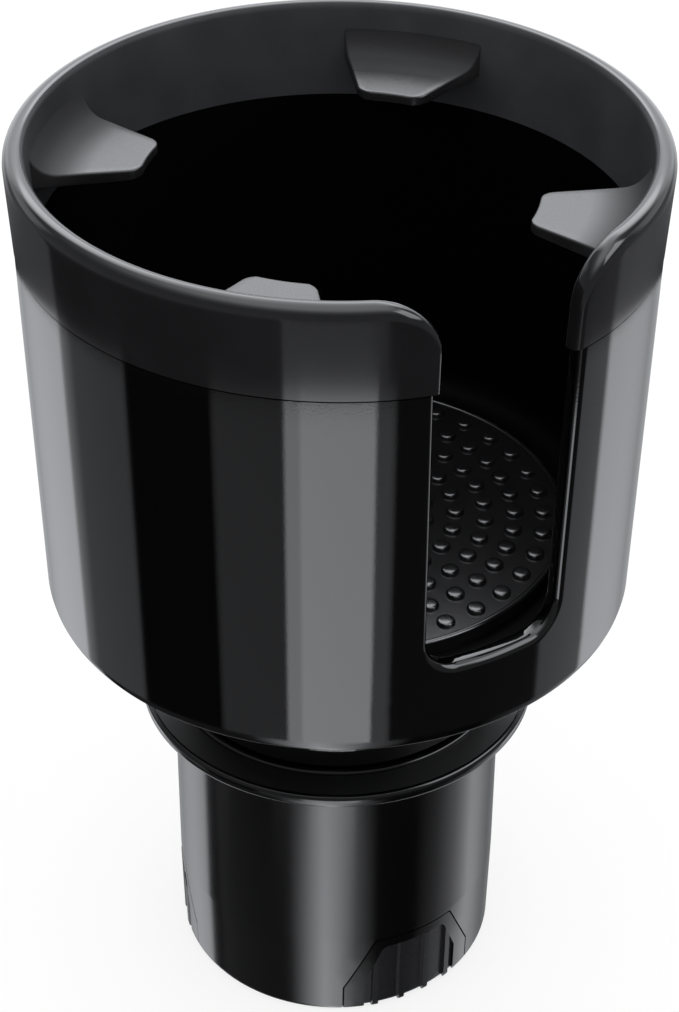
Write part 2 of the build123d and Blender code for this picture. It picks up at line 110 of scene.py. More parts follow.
# Rounded edges that the CAD model leaves smaller or sharp
SLOT_OUT_R = 1.6
SLOT_IN_R = 1.2
SLOT_OUT_DEPTH = 2.0     # width of the strip that holds the slot's rounded edge, outside
SLOT_IN_DEPTH = 1.25     # and inside
SKIRT_EDGE_R = 0.5
END_OUT_R = 1.3          # ends of the band at the slot
END_IN_R = 0.9
BAND_DEPTH = 3.0         # width of the strip that holds the band's rounded edge
TAB_CORNER_R = 2.2
TAB_EDGE_R = 0.45
TAB_LOW_EDGE_R = 0.3
TAB_BITE = 0.35          # the tab ends this deep in the band
MAT_BEAD_R = 0.6         # round bead along the mat's edge
MAT_BEAD_H = 0.35
BUMP_EDGE_R = 0.6
BUMP_SHOULDER = 80       # angle of the round shoulder, before the crown
BUMP_CROWN = 0.06
BUMP_BITE = 0.1
CROWN_MID_R = 0.55       # a point between the shoulder and the middle, as shares
CROWN_MID_H = 0.7

# Fineness of the new pieces
JOIN_GAP = 0.002         # points nearer than this are joined
COPY_GAP = 0.02          # allowance where the CAD model's faces are told apart
CREASE = 35              # a corner sharper than this stays sharp in the shading
SOFT_CREASE = 50
EDGE_POWER = 3           # a higher power draws the shading upright nearer to the bottom edge
FILLET_STEPS = 7
WALL_LOW_Z = 100.0       # the regular rows of the wall start above this, outside and inside
WALL_IN_LOW_Z = 105.6
WALL_FOOT_STEPS = 3
CUP_EDGE_STEPS = 10
SKIRT_EDGE_STEPS = 4
CUP_COVE_STEPS = 12
CUP_FLOOR_RINGS = (0.8, 0.4)
FRAME_X = 22.0           # a plain frame round the slot reaches this far to each side
FRAME_STEPS = 5
WALL_ROWS = 16
CORNER_ROWS = 8
CORNER_COLUMNS = 8
SILL_COLUMNS = 4
BACK_COLUMNS = 110
BAND_SIDE_ROWS = 5
FLARE_STEPS = 16
BAND_ROWS = 8
TAB_CORNER_STEPS = 8
TAB_ROWS = 8
TAB_COVE_STEPS = 9
TAB_COLUMNS = 12
TAB_EDGE_STEPS = 4
TAB_WIDTH_ROUNDS = 6
BEAD_STEPS = 12
MAT_TOP_STEPS = 6
BUMP_SIDES = 24
BUMP_STEPS = 5
LATHE_COUNT = 240
COLLAR_TOP_STEPS = 3
COLLAR_EDGE_TURN = 87    # angle of the collar's upper edge, which meets its sloping top

# The two faces of a wall, as shares of the way through it
OUTSIDE = 0
INSIDE = 1

# Grain of the materials. A noise has a scale, a detail and a roughness.
NOISE_RANGE = (0.3, 0.7)     # the part of a noise's range that does something
SPECKLE_RANGE = (0.35, 0.65)
REFRACTION = 1.5
PLASTIC_FINE = (2600.0, 3.0, 0.6)
PLASTIC_CLOUD = (60.0, 2.0, 0.5)
PLASTIC_SMUDGE = 0.3         # share of the roughness that the clouds add
PLASTIC_BUMP = 0.06
PLASTIC_TOOTH = 0.00004
RUBBER_FINE = (3200.0, 4.0, 0.6)
RUBBER_CLOUD = (90.0, 3.0, 0.5)
RUBBER_SHADE = 0.15          # share by which the colour varies
RUBBER_GRAIN = 0.15          # share by which the roughness varies
RUBBER_BUMP = 0.15
STEEL_FINE = (1800.0, 3.0, 0.6)
STEEL_GRAIN = 0.08
STEEL_DARK = (0.5, 0.5, 0.51)
STEEL_LIGHT = (0.62, 0.62, 0.63)

# Looks of the materials
DEEP_BLACK = (0.0012, 0.0012, 0.0013)
PLASTICS = {
    "cup_plastic": {"colour": DEEP_BLACK, "roughness": 0.035, "grain": 0.02, "speckle": 0.5},
    "base_plastic": {"colour": DEEP_BLACK, "roughness": 0.12, "grain": 0.03, "speckle": 0.5},
    "cup_inside": {
        "colour": (0.001, 0.001, 0.0011), "roughness": 0.45, "grain": 0.04, "speckle": 0.4,
        "level": 0.05,
    },
    "collar_plastic": {
        "colour": DEEP_BLACK, "roughness": 0.4, "grain": 0.04, "speckle": 0.4, "level": 1.0,
    },
    "inner_plastic": {
        "colour": (0.05, 0.05, 0.052), "roughness": 0.45, "grain": 0.05, "speckle": 0.1,
    },
    "washer_plastic": {
        "colour": (0.75, 0.74, 0.70), "roughness": 0.4, "grain": 0.05, "speckle": 0.03,
    },
}
RUBBERS = {
    "rim_rubber": {
        "colour": (0.0075, 0.0075, 0.0082), "roughness": 0.06, "level": 0.5, "tooth": 0.000002,
    },
    # lighter copy of the band's rubber for its inside faces: painted light, standing in for the light
    # that falls in through the cup's mouth
    "rim_inside_painted_light": {
        "colour": (0.044, 0.045, 0.049), "roughness": 0.4, "level": 0.1, "tooth": 0.00003,
    },
    "tab_rubber": {
        "colour": (0.012, 0.012, 0.013), "roughness": 0.3, "level": 0.5, "tooth": 0.00002,
        "dull": (44.0, 53.0, 0.9),
    },
    "mat_rubber": {
        "colour": (0.010, 0.010, 0.0107), "roughness": 0.22, "level": 1.0, "tooth": 0.00002,
    },
    "pad_rubber": {
        "colour": (0.008, 0.008, 0.009), "roughness": 0.3, "level": 0.4, "tooth": 0.00004,
    },
}
STEELS = {"screw_steel": 0.35, "pin_steel": 0.18}

# Photograph and camera
IMAGE_W = 679
IMAGE_H = 1012
FOCAL_PX = 2485.0
CENTRE_X_PX = 337.9      # where the camera's axis meets the photograph
CENTRE_Y_PX = 489.8
SENSOR_MM = 36.0
CAMERA_ANGLE = -119.8    # direction from the object's axis to the camera
CAMERA_REACH = 0.38405
CAMERA_HEIGHT = 0.38033
CAMERA_PITCH = 35.40     # below the horizontal
CAMERA_ROLL = 0.30

# Studio light, by direction. Angles turn about the axis from the camera's direction,
# positive to the camera's right. Each pair is an angle and the strength there.
# The sleeve reflects the lower strips, the cup the upper ones and the band its own.
UPPER_STRIPS = (
    (-180, 0.4), (-152, 0.65), (-117, 2.3), (-115, 0.9), (-108, 0.36), (-82, 0.45),
    (-80, 0.01), (-46, 0.01), (-44.5, 0.36), (-19.5, 0.36), (-18.5, 2.9), (-14, 2.9),
    (-13.5, 3.9), (12.8, 3.7), (13.4, 0.75), (19.4, 0.75), (20.4, 0.05), (84, 0.05),
    (86, 0.5), (110, 0.5), (112, 2.3), (148, 0.6), (165, 0.5), (180, 0.4),
)
LOWER_STRIPS = (
    (-180, 0.3), (-150, 0.55), (-124, 1.5), (-110, 1.8), (-107, 0.02), (-97, 0.03),
    (-94, 0.12), (-40, 0.08), (-34, 0.15), (-28, 0.8), (-20, 2.2), (-8, 4.6), (2, 3.2),
    (15, 0.9), (30, 0.02), (60, 0.01), (78, 0.25), (95, 0.7), (114, 1.6), (134, 0.6),
    (146, 0.3), (180, 0.3),
)
BAND_STRIPS = (
    (-180, 0.02), (-165, 0.03), (-150, 0.07), (-135, 0.13), (-117, 0.2), (-115, 0.01),
    (-80, 0.02), (-44, 0.05), (-19.5, 0.08), (-18.5, 0.42), (10, 0.4), (12, 0.3), (16, 0.25),
    (18, 0.04), (84, 0.05), (86, 0.12), (110, 0.13), (112, 0.3), (125, 0.25), (150, 0.08),
    (165, 0.03), (180, 0.02),
)
ROW_SPLIT = -40.6        # elevation between the lower and the upper strips, at the sides
ROW_SPLIT_HALF = 0.25
ROW_SPLIT_FRONT = 1.35   # the split is lower by this in front, and higher by this behind
BAND_SPLIT = -32.1       # elevation between the upper strips and the band's, at the sides
BAND_SPLIT_HALF = 0.1
BAND_SPLIT_FRONT = 1.6
BAND_SPLIT_ROUND = 0.45  # this split is also higher by this both in front and behind
STRIP_FADE = -22.0       # the strips fade into the glow about this elevation
STRIP_FADE_HALF = 8.0
FAR_GLOW = (             # pairs of an elevation and the strength there
    (-90, 0.02), (-30, 1.0), (-2, 1.6), (2, 2.0), (18, 2.0), (24, 2.4), (28, 3.0), (31, 5.4),
    (40, 5.4), (48, 4.0), (56, 3.4), (66, 3.0), (90, 2.8),
)
NEAR_GLOW = ((-90, 0.3), (30, 0.25), (45, 0.6), (56, 1.3), (66, 2.2), (75, 2.6), (90, 2.8))
FAR_EDGE = 0.7           # the far glow covers directions whose cosine from behind is above this
FAR_SOFTNESS = 0.2
LAMPS = (                # angle, half width, elevation, half height and strength
    (80, 28, 40, 16, 4.0), (-130, 18, 14, 12, 0.8), (130, 18, 14, 12, 0.8),
)
LAMP_SOFTNESS = 8.0
LAMP_TINT = (0.972, 0.988, 1.032, 1.0)
WHITE = (1.0, 1.0, 1.0, 1.0)
ROOM_STRENGTH = 1.0
FLOOR_HALF = 6.0
FLOOR_COLOUR = (0.98, 0.98, 0.98, 1.0)
FLOOR_GLOW = 0.7         # part of the floor's white that no shadow darkens
FLOOR_WHITE = 1.08


class Graph:
    """Short way to write a shader's nodes."""

    def __init__(self, tree):
        self.nodes = tree.nodes
        self.links = tree.links
        self.nodes.clear()

    def add(self, kind, inputs=None, **settings):
        """Node whose sockets get a number, or another node's output."""
        node = self.nodes.new(kind)
        for name, value in settings.items():
            setattr(node, name, value)
        for socket, value in (inputs or {}).items():
            if isinstance(value, (int, float, tuple)):
                node.inputs[socket].default_value = value
            else:
                self.links.new(value, node.inputs[socket])
        return node

    def math(self, operation, first, second=0.0, clamp=False):
        inputs = {0: first, 1: second}
        return self.add("ShaderNodeMath", inputs, operation=operation, use_clamp=clamp).outputs[0]

    def blend(self, share, first, second):
        """Number between the first and the second."""
        return self.add("ShaderNodeMix", {0: share, 2: first, 3: second}).outputs[0]

    def level_part(self, vector):
        """The vector without its height."""
        inputs = {0: vector, 1: (1.0, 1.0, 0.0)}
        return self.add("ShaderNodeVectorMath", inputs, operation="MULTIPLY").outputs[0]

    def ramp(self, factor, stops):
        """Colour ramp from (position, grey or colour) stops."""
        node = self.add("ShaderNodeValToRGB", {0: factor})
        elements = node.color_ramp.elements
        for index, (place, value) in enumerate(stops):
            element = elements[index] if index < 2 else elements.new(place)
            element.position = place
            element.color = (value, value, value, 1.0) if isinstance(value, float) else (*value, 1.0)
        return node.outputs[0]

    def noise(self, vector, scale, detail, roughness):
        inputs = {"Vector": vector, "Scale": scale, "Detail": detail, "Roughness": roughness}
        return self.add("ShaderNodeTexNoise", inputs).outputs["Fac"]


# Materials


def new_material(name):
    material = bpy.data.materials.new(name)
    material.use_nodes = True
    return material, Graph(material.node_tree)


def finish_material(g, shader):
    g.add("ShaderNodeOutputMaterial", {"Surface": shader.outputs[0]})


def shades(colour, share):
    """The colour darker and lighter by a share."""
    return tuple(c * (1 - share) for c in colour), tuple(c * (1 + share) for c in colour)


def plastic(name, colour, roughness, grain, speckle, level=0.5):
    """Moulded plastic: a fine grain in the gloss and a faint speckle in the colour."""
    material, g = new_material(name)
    place = g.add("ShaderNodeTexCoord").outputs["Object"]
    fine = g.noise(place, *PLASTIC_FINE)
    cloud = g.noise(place, *PLASTIC_CLOUD)
    gloss = g.ramp(fine, tuple(zip(NOISE_RANGE, (max(roughness - grain, 0.0), roughness + grain))))
    shade = g.ramp(fine, tuple(zip(SPECKLE_RANGE, shades(colour, speckle))))
    smudge = g.math("ADD", gloss, g.math("MULTIPLY", cloud, roughness * PLASTIC_SMUDGE))
    bump = g.add("ShaderNodeBump", {
        "Height": fine, "Strength": PLASTIC_BUMP, "Distance": PLASTIC_TOOTH,
    })
    shader = g.add("ShaderNodeBsdfPrincipled", {
        "Base Color": shade, "Roughness": smudge, "IOR": REFRACTION, "Specular IOR Level": level,
        "Normal": bump.outputs[0],
    })
    finish_material(g, shader)
    return material


def rubber(name, colour, roughness, level, tooth, dull=None):
    """Black rubber: soft broad sheen with a fine moulded tooth.

    dull is two radii in millimetres and a roughness, which is reached between them.
    """
    material, g = new_material(name)
    place = g.add("ShaderNodeTexCoord").outputs["Object"]
    fine = g.noise(place, *RUBBER_FINE)
    cloud = g.noise(place, *RUBBER_CLOUD)
    shade = g.ramp(cloud, tuple(zip(NOISE_RANGE, shades(colour, RUBBER_SHADE))))
    rough = (roughness * (1 - RUBBER_GRAIN), roughness * (1 + RUBBER_GRAIN))
    gloss = g.ramp(fine, tuple(zip(NOISE_RANGE, rough)))
    if dull:
        from_r, to_r, dull_roughness = dull
        flat = g.level_part(place)
        r = g.add("ShaderNodeVectorMath", {0: flat}, operation="LENGTH").outputs["Value"]
        past = g.math("SUBTRACT", r, from_r * MM)
        gloss = g.blend(g.math("DIVIDE", past, (to_r - from_r) * MM, clamp=True), gloss, dull_roughness)
    bump = g.add("ShaderNodeBump", {"Height": fine, "Strength": RUBBER_BUMP, "Distance": tooth})
    shader = g.add("ShaderNodeBsdfPrincipled", {
        "Base Color": shade, "Roughness": gloss, "IOR": REFRACTION, "Specular IOR Level": level,
        "Normal": bump.outputs[0],
    })
    finish_material(g, shader)
    return material


def steel(name, roughness):
    material, g = new_material(name)
    place = g.add("ShaderNodeTexCoord").outputs["Object"]
    fine = g.noise(place, *STEEL_FINE)
    gloss = g.ramp(fine, tuple(zip(NOISE_RANGE, (roughness - STEEL_GRAIN, roughness + STEEL_GRAIN))))
    shade = g.ramp(fine, tuple(zip(NOISE_RANGE, (STEEL_DARK, STEEL_LIGHT))))
    shader = g.add("ShaderNodeBsdfPrincipled", {
        "Base Color": shade, "Roughness": gloss, "Metallic": 1.0,
    })
    finish_material(g, shader)
    return material


slots = {name: plastic(name, **look) for name, look in PLASTICS.items()}
slots.update({name: rubber(name, **look) for name, look in RUBBERS.items()})
slots.update({name: steel(name, roughness) for name, roughness in STEELS.items()})


def dress_nodes():
    """Give each node of the frame the material of its slot."""
    for part in frame["record"]["subparts"]:
        node = frame["nodes"][part["node"]]
        node.data.materials.clear()
        node.data.materials.append(slots[part["material_slot"]])


# New pieces, in millimetres until they are made into objects


class Skin:
    """Mesh under construction; points that meet are joined when it is finished."""

    def __init__(self):
        self.build = bmesh.new()

    def sheet(self, rows):
        """Quads between neighbouring rows of points."""
        lines = [[self.build.verts.new(point) for point in row] for row in rows]
        for low, high in zip(lines, lines[1:]):
            for i in range(len(low) - 1):
                self.build.faces.new((low[i], low[i + 1], high[i + 1], high[i]))

    def cap(self, loop):
        self.build.faces.new([self.build.verts.new(point) for point in loop])

    def lathe(self, profile, count, centre=(0.0, 0.0)):
        """Surface turned from (radius, height) points about an upright axis."""
        rows = []
        for i in range(count + 1):
            angle = 2 * pi * i / count
            rows.append([
                Vector((centre[0] + r * cos(angle), centre[1] + r * sin(angle), z)) for r, z in profile
            ])
        self.sheet(rows)

    def finish(self, name, slot, body, crease=CREASE):
        """Object in metres with its material, riding on its body."""
        bmesh.ops.remove_doubles(self.build, verts=self.build.verts, dist=JOIN_GAP)
        bmesh.ops.recalc_face_normals(self.build, faces=self.build.faces)
        bmesh.ops.scale(self.build, vec=(MM, MM, MM), verts=self.build.verts)
        mesh = bpy.data.meshes.new(name)
        self.build.to_mesh(mesh)
        self.build.free()
        mesh.shade_smooth()
        mesh.set_sharp_from_angle(angle=radians(crease))
        mesh.materials.append(slots[slot])
        piece = bpy.data.objects.new(name, mesh)
        bpy.context.scene.collection.objects.link(piece)
        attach(piece, body)
        return piece


def shade_upright(mesh):
    """Outward normals that lean down are drawn upright, nearly to the bottom edge."""
    corners = []
    for corner, loop in zip(mesh.corner_normals, mesh.loops):
        normal = corner.vector.copy()
        if normal.z < 0 and normal.xy.dot(mesh.vertices[loop.vertex_index].co.xy) > 0:
            normal.z = -abs(normal.z) ** EDGE_POWER
        corners.append(normal.normalized())
    mesh.normals_split_custom_set(corners)


def mix(first, second, share):
    return first + (second - first) * share


def spread(first, second, count):
    """Evenly spaced values from first to second, both included."""
    return [mix(first, second, i / count) for i in range(count + 1)]


def bend(centre, radius, start, end, count=FILLET_STEPS):
    """Points of an arc in the (radius, height) plane; angles in degrees."""
    return [
        (centre[0] + radius * cos(radians(a)), centre[1] + radius * sin(radians(a)))
        for a in spread(start, end, count)
    ]


def beside_slot(side, x, r, z):
    """Point on a round wall, x to one side of the slot's middle."""
    return Vector((side * x, -sqrt(r * r - x * x), z))


def round_back(side, share, x_start, r, z):
    """Point on a round wall, a share of the way from beside the slot to the back."""
    start = asin(x_start / r)
    angle = mix(start, pi, share)
    return Vector((side * r * sin(angle), -r * cos(angle), z))


def edge_section(out_r, in_r, out_depth, in_depth, wall):
    """Rounded free edge of a wall: (depth from the edge, share of the wall's thickness)."""
    section = [(out_depth, 0.0)]
    for a in spread(0, pi / 2, FILLET_STEPS):
        section.append((out_r - out_r * sin(a), (out_r - out_r * cos(a)) / wall))
    for a in spread(0, pi / 2, FILLET_STEPS):
        section.append((in_r - in_r * cos(a), 1 - (in_r - in_r * sin(a)) / wall))
    section.append((in_depth, 1.0))
    return section


# Cup


def cup_wall(z, share):
    """Radius in the cup's wall, a share of the way from its outside to its inside."""
    return CUP_R - CUP_DRAFT * (RIM_TOP - z) - CUP_WALL * share


def slot_half(z):
    """Half of the slot's width in the cup's wall."""
    return mix(SLOT_LOW_HALF, SLOT_TOP_HALF, (z - SILL_Z) / (FLARE_Z - SILL_Z))


def make_cup():
    """Cup with its floor and slot, made as two halves that meet behind and at the slot."""
    skin = Skin()
    section = edge_section(SLOT_OUT_R, SLOT_IN_R, SLOT_OUT_DEPTH, SLOT_IN_DEPTH, CUP_WALL)
    corner_z = SILL_Z + SLOT_CORNER_R
    corner_x = slot_half(corner_z) - SLOT_CORNER_R
    corner_count = CORNER_ROWS + CORNER_COLUMNS
    heights = spread(0.0, 1.0, WALL_ROWS)
    turns = spread(0.0, 1.0, BACK_COLUMNS)

    def top_z(share):
        return BAND_Z - BAND_IN_DROP * share

    def stations():
        """Places along half of the slot's outline: which part of it, and how far along."""
        for level in heights:
            yield "side", level
        for i in range(1, corner_count):
            yield "corner", i
        for x in spread(corner_x, 0.0, SILL_COLUMNS):
            yield "sill", x

    def edge(kind, value, depth, share):
        """Point beside the slot's outline, a depth into the wall's face."""
        if kind == "side":
            z = mix(top_z(share), corner_z, value)
            return slot_half(z) + depth, z
        if kind == "sill":
            return value, SILL_Z - depth
        angle = pi / 2 * value / corner_count
        reach = SLOT_CORNER_R + depth
        return corner_x + reach * cos(angle), corner_z - reach * sin(angle)

    def frame_point(kind, value, share):
        """Point of the plain frame round the slot, where the regular wall starts."""
        low_z = WALL_LOW_Z if share == OUTSIDE else WALL_IN_LOW_Z
        if kind == "side":
            return FRAME_X, mix(top_z(share), corner_z, value)
        if kind == "sill":
            return value, low_z
        if value <= CORNER_ROWS:
            return FRAME_X, mix(corner_z, low_z, value / CORNER_ROWS)
        return mix(FRAME_X, corner_x, (value - CORNER_ROWS) / CORNER_COLUMNS), low_z

    def back_line(side, share, z):
        """Points on the wall from beside the frame round to the back."""
        return [round_back(side, turn, FRAME_X, cup_wall(z, share), z) for turn in turns]

    for side in (1, -1):
        rows = []
        faces = {OUTSIDE: [], INSIDE: []}
        for kind, value in stations():
            row = []
            for depth, share in section:
                x, z = edge(kind, value, depth, share)
                row.append(beside_slot(side, x, cup_wall(z, share), z))
            rows.append(row)
            for share, depth in ((OUTSIDE, SLOT_OUT_DEPTH), (INSIDE, SLOT_IN_DEPTH)):
                near = edge(kind, value, depth, share)
                far = frame_point(kind, value, share)
                line = []
                for step in spread(0.0, 1.0, FRAME_STEPS):
                    x = mix(near[0], far[0], step)
                    z = mix(near[1], far[1], step)
                    line.append(beside_slot(side, x, cup_wall(z, share), z))
                faces[share].append(line)
        skin.sheet(rows)
        skin.cap(rows[0])
        for share in (OUTSIDE, INSIDE):
            skin.sheet(faces[share])
        for share, low_z in ((OUTSIDE, WALL_LOW_Z), (INSIDE, WALL_IN_LOW_Z)):
            levels = [mix(top_z(share), corner_z, level) for level in heights]
            levels += spread(corner_z, low_z, CORNER_ROWS)[1:]
            skin.sheet([back_line(side, share, z) for z in levels])
        skin.sheet([
            faces[share][0][:-1] + back_line(side, share, top_z(share)) for share in (OUTSIDE, INSIDE)
        ])
        xs = spread(0.0, corner_x, SILL_COLUMNS) + spread(corner_x, FRAME_X, CORNER_COLUMNS)[1:]
        for profile in (cup_low_profile(), cup_floor_profile()):
            start_r = profile[0][0]
            azimuths = [asin(x / start_r) for x in xs]
            azimuths += [mix(azimuths[-1], pi, turn) for turn in turns[1:]]
            skin.sheet([
                [Vector((side * r * sin(a), -r * cos(a), z)) for a in azimuths] for r, z in profile
            ])
    cup = skin.finish("cup_wall", "cup_plastic", "cup")
    cup.data.materials.append(slots["cup_inside"])
    for face in cup.data.polygons:
        x, y, z = face.center / MM
        if z > FLOOR_Z - JOIN_GAP and hypot(x, y) < cup_wall(z, INSIDE) + JOIN_GAP:
            face.material_index = 1
    shade_upright(cup.data)
    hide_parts("cup_shell")


def cup_low_profile():
    """Outside of the cup below the slot, its bottom edge and its underside."""
    edge_r = cup_wall(CUP_Z, OUTSIDE) - CUP_EDGE_R
    edge_z = CUP_Z + CUP_EDGE_R
    skirt_edge = (SKIRT_R + SKIRT_EDGE_R, CUP_Z + SKIRT_EDGE_R)
    points = [(cup_wall(z, OUTSIDE), z) for z in spread(WALL_LOW_Z, edge_z, WALL_FOOT_STEPS)]
    points += bend((edge_r, edge_z), CUP_EDGE_R, 0, -90, CUP_EDGE_STEPS)[1:]
    points += [
        (SKIRT_R + SKIRT_EDGE_R, CUP_Z),
        *bend(skirt_edge, SKIRT_EDGE_R, -90, -180, SKIRT_EDGE_STEPS)[1:],
        (SKIRT_R, PLATE_TOP),
        (SKIRT_R - LEDGE_W, PLATE_TOP),
        (SKIRT_R - LEDGE_W, FLOOR_LOW),
        (SKIRT_R / 2, FLOOR_LOW),
        (0.0, FLOOR_LOW),
    ]
    return points


def cup_floor_profile():
    """Cup's inside below the slot: the cove and the floor."""
    cove_z = FLOOR_Z + CUP_COVE_R
    wall_r = cup_wall(cove_z, INSIDE)
    points = [(cup_wall(WALL_IN_LOW_Z, INSIDE), WALL_IN_LOW_Z)]
    points += bend((wall_r - CUP_COVE_R, cove_z), CUP_COVE_R, 0, -90, CUP_COVE_STEPS)
    points += [(wall_r * share, FLOOR_Z) for share in CUP_FLOOR_RINGS]
    points += [(0.0, FLOOR_Z)]
    return points


# Rim band and tabs


def band_wall(z, share):
    """Radius in the rubber band, a share of the way from its outside to its inside."""
    rise = min((z - BAND_LOW_Z) / (BULGE_Z - BAND_LOW_Z), 1.0)
    out_r = mix(BAND_LOW_R, BULGE_R, rise)
    return mix(out_r, band_inside(z), share)


def band_inside(z):
    return mix(BAND_IN_R, BAND_IN_TOP_R, (z - BAND_IN_Z) / (RIM_TOP - BAND_IN_Z))


def make_band():
    """Rubber band, whose rounded top runs on down both sides of the slot."""
    skin = Skin()
    turns = spread(0.0, 1.0, BACK_COLUMNS)
    stations = [("side", value) for value in spread(0.0, 1.0, BAND_SIDE_ROWS)]
    stations += [("flare", value) for value in spread(0.0, 1.0, FLARE_STEPS)[1:]]
    stations += [("rim", value) for value in turns[1:]]
    slot_count = BAND_SIDE_ROWS + FLARE_STEPS
    side_x = FLARE_X - FLARE_R

    def low_z(share):
        return mix(BAND_LOW_Z, BAND_IN_Z, share)

    def edge(kind, value, depth, share):
        """Point beside the band's edge at the slot, a depth into its face."""
        if kind == "side":
            z = mix(low_z(share), FLARE_Z, value)
            return side_x + slot_half(z) - SLOT_TOP_HALF + depth, z
        angle = pi / 2 * value
        reach = FLARE_R - depth
        return FLARE_X - reach * cos(angle), FLARE_Z + reach * sin(angle)

    def point(side, kind, value, depth, share):
        """Point of the rounded edge, on the slot's side or on the rim."""
        if kind == "rim":
            z = RIM_TOP - depth
            return round_back(side, value, FLARE_X, band_wall(z, share), z)
        x, z = edge(kind, value, depth, share)
        return beside_slot(side, x, band_wall(z, share), z)

    for side in (1, -1):
        rows, bottoms = [], []
        faces = {OUTSIDE: [], INSIDE: []}
        for index, (kind, value) in enumerate(stations):
            blend = {"side": 0.0, "flare": sin(pi / 2 * value) ** 2, "rim": 1.0}[kind]
            section = edge_section(
                mix(END_OUT_R, RIM_OUT_R, blend), mix(END_IN_R, RIM_IN_R, blend),
                BAND_DEPTH, BAND_DEPTH, BAND_T,
            )
            rows.append([point(side, kind, value, depth, share) for depth, share in section])
            bottom = []
            for share in (OUTSIDE, INSIDE):
                line = []
                for step in spread(0.0, 1.0, BAND_ROWS):
                    if kind == "rim":
                        z = mix(RIM_TOP - BAND_DEPTH, low_z(share), step)
                        line.append(round_back(side, value, FLARE_X, band_wall(z, share), z))
                    else:
                        near_x, near_z = edge(kind, value, BAND_DEPTH, share)
                        start_x = edge("side", 0.0, BAND_DEPTH, share)[0]
                        far_x = mix(start_x, FLARE_X, index / slot_count)
                        x = mix(near_x, far_x, step)
                        z = mix(near_z, low_z(share), step)
                        line.append(beside_slot(side, x, band_wall(z, share), z))
                faces[share].append(line)
                bottom.append(line[-1])
            bottoms.append(bottom)
        skin.sheet(rows)
        skin.cap(rows[0])
        skin.sheet(faces[OUTSIDE])
        skin.sheet(faces[INSIDE])
        skin.sheet(bottoms)
    band = skin.finish("rim_band", "rim_rubber", "cup")
    # the band's inside faces take the lighter copy of its rubber, painted light in place of the light
    # that falls in through the mouth
    band.data.materials.append(slots["rim_inside_painted_light"])
    for face in band.data.polygons:
        x, y, z = face.center / MM
        if hypot(x, y) < band_inside(z) + RIM_IN_R / 2:
            face.material_index = 1
    shade_upright(band.data)
    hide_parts("rim_ring")


def make_tab(name, angle):
    """Flexible tab: a rounded plate whose top sweeps up into the band's inside."""
    skin = Skin()
    root_r = band_inside(TAB_TOP_Z) + TAB_BITE
    slope = (TAB_ROOT_HALF - TAB_TIP_HALF) / (sqrt(root_r**2 - TAB_ROOT_HALF**2) - TAB_TIP_R)
    radii = [TAB_TIP_R + TAB_CORNER_R * (1 - cos(a)) for a in spread(0, pi / 2, TAB_CORNER_STEPS)]
    radii += spread(radii[-1], root_r - TAB_COVE_R, TAB_ROWS)[1:]
    radii += [root_r - TAB_COVE_R * (1 - sin(a)) for a in spread(0, pi / 2, TAB_COVE_STEPS)[1:]]

    def half_width(r):
        """Half of the width at a radius. It depends on itself, so it is refined in rounds."""
        half = TAB_TIP_HALF
        for _ in range(TAB_WIDTH_ROUNDS):
            half = TAB_TIP_HALF + slope * (sqrt(r * r - half * half) - TAB_TIP_R)
        from_tip = r - TAB_TIP_R
        if from_tip < TAB_CORNER_R:
            half -= TAB_CORNER_R - sqrt(TAB_CORNER_R**2 - (TAB_CORNER_R - from_tip) ** 2)
        return half

    def top(r):
        """Height of the top: flat, then a cove that ends upright against the band."""
        into = r - (root_r - TAB_COVE_R)
        if into <= 0:
            return TAB_TOP_Z
        return TAB_TOP_Z + (TAB_COVE_R - sqrt(max(TAB_COVE_R**2 - into**2, 0.0)))

    def low(r):
        return TAB_TOP_Z - TAB_T - TAB_ROOT_DROP * (r - TAB_TIP_R) / (root_r - TAB_TIP_R)

    def ring(inset, height):
        """Rows of points across the tab, drawn in from its outline."""
        rows = []
        for r in radii:
            row_r = max(r, TAB_TIP_R + inset)
            half = half_width(row_r) - inset
            row = []
            for share in spread(-1.0, 1.0, TAB_COLUMNS):
                a = radians(angle) + asin(half * share / row_r)
                row.append(Vector((row_r * sin(a), -row_r * cos(a), height(row_r))))
            rows.append(row)
        return rows

    loops = []
    for a in spread(0, pi / 2, TAB_EDGE_STEPS):
        inset = TAB_EDGE_R * (1 - sin(a))
        drop = TAB_EDGE_R * (1 - cos(a))
        loops.append((inset, lambda r, drop=drop: top(r) - drop))
    for a in spread(pi / 2, 0, TAB_EDGE_STEPS):
        inset = TAB_LOW_EDGE_R * (1 - sin(a))
        rise = TAB_LOW_EDGE_R * (1 - cos(a))
        loops.append((inset, lambda r, rise=rise: low(r) + rise))
    grids = [ring(inset, height) for inset, height in loops]
    skin.sheet(grids[0])
    skin.sheet(grids[-1])
    borders = []
    for grid in grids:
        left = [row[0] for row in reversed(grid)]
        right = [row[-1] for row in grid]
        borders.append(left + grid[0][1:-1] + right)
    skin.sheet(borders)
    tab = skin.finish(name, "rim_rubber", "cup", SOFT_CREASE)
    tab.data.materials[0] = slots["tab_rubber"]
    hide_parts("rim_ring")


# Mat and sleeve


